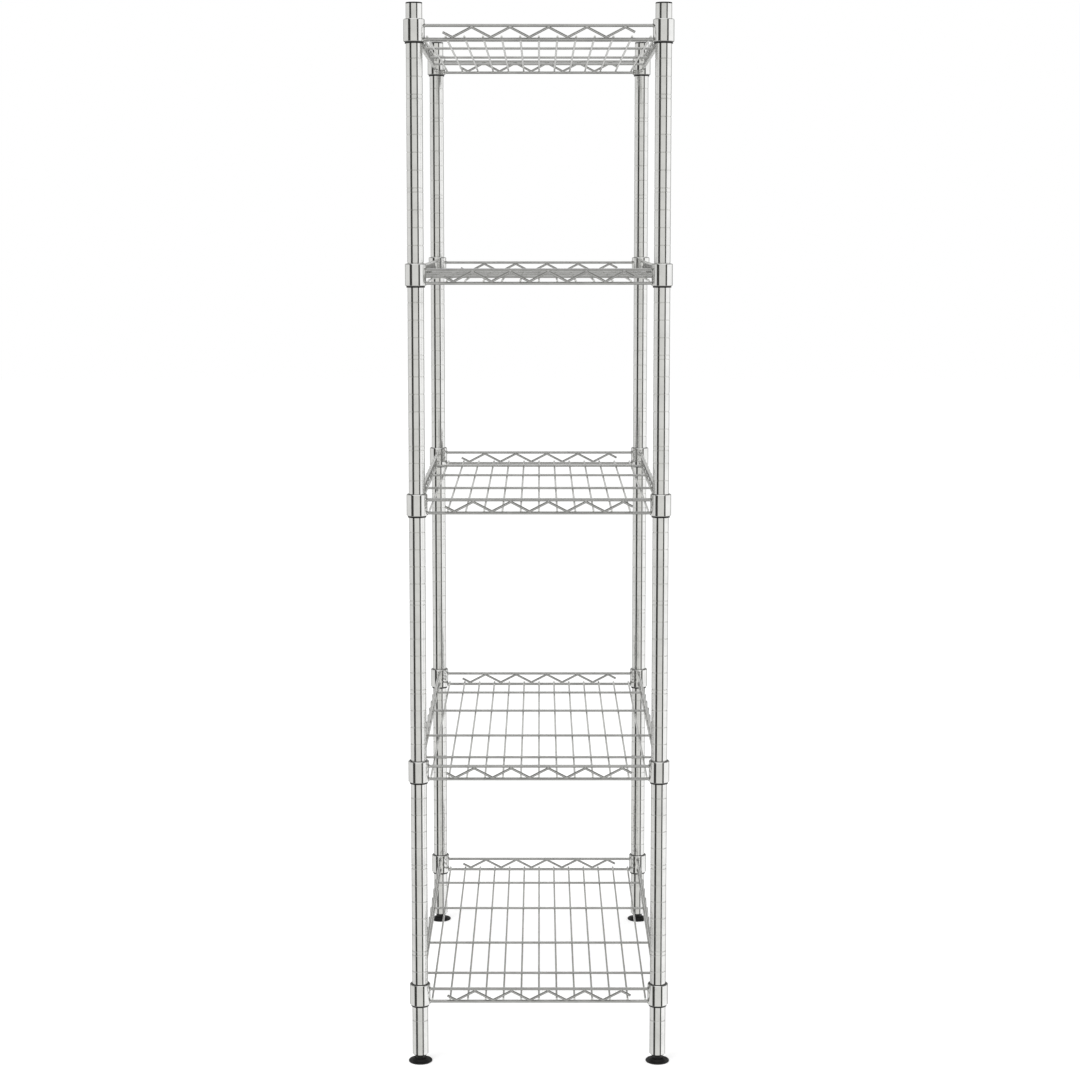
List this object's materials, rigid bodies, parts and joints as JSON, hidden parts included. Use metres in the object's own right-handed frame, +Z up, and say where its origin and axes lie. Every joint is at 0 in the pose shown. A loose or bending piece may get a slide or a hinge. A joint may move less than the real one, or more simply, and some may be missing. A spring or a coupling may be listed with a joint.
{
  "type": "wire shelving rack",
  "caption": "Free-standing rack of chrome wire shelves on grooved round posts, with tapered corner collars, split sleeves and screw-in levelling feet.",
  "frame": {"origin": "on the floor, midway between the four posts", "axes": "+X to the right along the short side, +Y from the front (short) side to the rear, +Z up"},
  "size_m": [0.388, 0.74, 1.55],
  "materials": {
    "post_chrome": "bright chrome plate over drawn tube",
    "collar_chrome": "bright chrome plate",
    "truss_wire_chrome": "chrome plate over drawn wire",
    "deck_wire_chrome": "chrome plate over drawn wire",
    "cap_plastic": "smooth black moulded plastic",
    "foot_plastic": "satin black moulded plastic",
    "insert_plastic": "black moulded plastic",
    "sleeve_plastic": "satin black moulded plastic",
    "stud_steel": "bright zinc plate, machine thread"
  },
  "bodies": {
    "posts": {"front_left_post": "post_chrome", "front_right_post": "post_chrome", "rear_left_post": "post_chrome", "rear_right_post": "post_chrome", "front_left_cap": "cap_plastic", "front_right_cap": "cap_plastic", "rear_left_cap": "cap_plastic", "rear_right_cap": "cap_plastic", "foot_inserts": "insert_plastic", "sleeves_1": "sleeve_plastic", "sleeves_2": "sleeve_plastic", "sleeves_3": "sleeve_plastic", "sleeves_4": "sleeve_plastic", "sleeves_5": "sleeve_plastic"},
    "shelf_1": {"shelf_1_collars": "collar_chrome", "shelf_1_front_truss": "truss_wire_chrome", "shelf_1_rear_truss": "truss_wire_chrome", "shelf_1_left_truss": "truss_wire_chrome", "shelf_1_right_truss": "truss_wire_chrome", "shelf_1_deck_wires": "deck_wire_chrome", "shelf_1_cross_wires": "deck_wire_chrome"},
    "shelf_2": {"shelf_2_collars": "collar_chrome", "shelf_2_front_truss": "truss_wire_chrome", "shelf_2_rear_truss": "truss_wire_chrome", "shelf_2_left_truss": "truss_wire_chrome", "shelf_2_right_truss": "truss_wire_chrome", "shelf_2_deck_wires": "deck_wire_chrome", "shelf_2_cross_wires": "deck_wire_chrome"},
    "shelf_3": {"shelf_3_collars": "collar_chrome", "shelf_3_front_truss": "truss_wire_chrome", "shelf_3_rear_truss": "truss_wire_chrome", "shelf_3_left_truss": "truss_wire_chrome", "shelf_3_right_truss": "truss_wire_chrome", "shelf_3_deck_wires": "deck_wire_chrome", "shelf_3_cross_wires": "deck_wire_chrome"},
    "shelf_4": {"shelf_4_collars": "collar_chrome", "shelf_4_front_truss": "truss_wire_chrome", "shelf_4_rear_truss": "truss_wire_chrome", "shelf_4_left_truss": "truss_wire_chrome", "shelf_4_right_truss": "truss_wire_chrome", "shelf_4_deck_wires": "deck_wire_chrome", "shelf_4_cross_wires": "deck_wire_chrome"},
    "shelf_5": {"shelf_5_collars": "collar_chrome", "shelf_5_front_truss": "truss_wire_chrome", "shelf_5_rear_truss": "truss_wire_chrome", "shelf_5_left_truss": "truss_wire_chrome", "shelf_5_right_truss": "truss_wire_chrome", "shelf_5_deck_wires": "deck_wire_chrome", "shelf_5_cross_wires": "deck_wire_chrome"},
    "front_left_levelling_foot": {"front_left_foot": "foot_plastic", "front_left_stud": "stud_steel"},
    "front_right_levelling_foot": {"front_right_foot": "foot_plastic", "front_right_stud": "stud_steel"},
    "rear_left_levelling_foot": {"rear_left_foot": "foot_plastic", "rear_left_stud": "stud_steel"},
    "rear_right_levelling_foot": {"rear_right_foot": "foot_plastic", "rear_right_stud": "stud_steel"}
  },
  "joints": [
    {"name": "shelf_1_lift", "type": "slide", "parent": "posts", "child": "shelf_1", "axis": [0, 0, 1], "range_m": [0, 0.303]},
    {"name": "shelf_2_lift", "type": "slide", "parent": "posts", "child": "shelf_2", "axis": [0, 0, 1], "range_m": [0, 0.359]},
    {"name": "shelf_3_lift", "type": "slide", "parent": "posts", "child": "shelf_3", "axis": [0, 0, 1], "range_m": [0, 0.2965]},
    {"name": "shelf_4_lift", "type": "slide", "parent": "posts", "child": "shelf_4", "axis": [0, 0, 1], "range_m": [0, 0.309]},
    {"name": "shelf_5_lift", "type": "slide", "parent": "posts", "child": "shelf_5", "axis": [0, 0, 1], "range_m": [0, 0.05]},
    {"name": "front_left_foot_screw", "type": "slide", "parent": "posts", "child": "front_left_levelling_foot", "axis": [0, 0, -1], "range_m": [0, 0.012]},
    {"name": "front_right_foot_screw", "type": "slide", "parent": "posts", "child": "front_right_levelling_foot", "axis": [0, 0, -1], "range_m": [0, 0.012]},
    {"name": "rear_left_foot_screw", "type": "slide", "parent": "posts", "child": "rear_left_levelling_foot", "axis": [0, 0, -1], "range_m": [0, 0.012]},
    {"name": "rear_right_foot_screw", "type": "slide", "parent": "posts", "child": "rear_right_levelling_foot", "axis": [0, 0, -1], "range_m": [0, 0.012]}
  ]
}
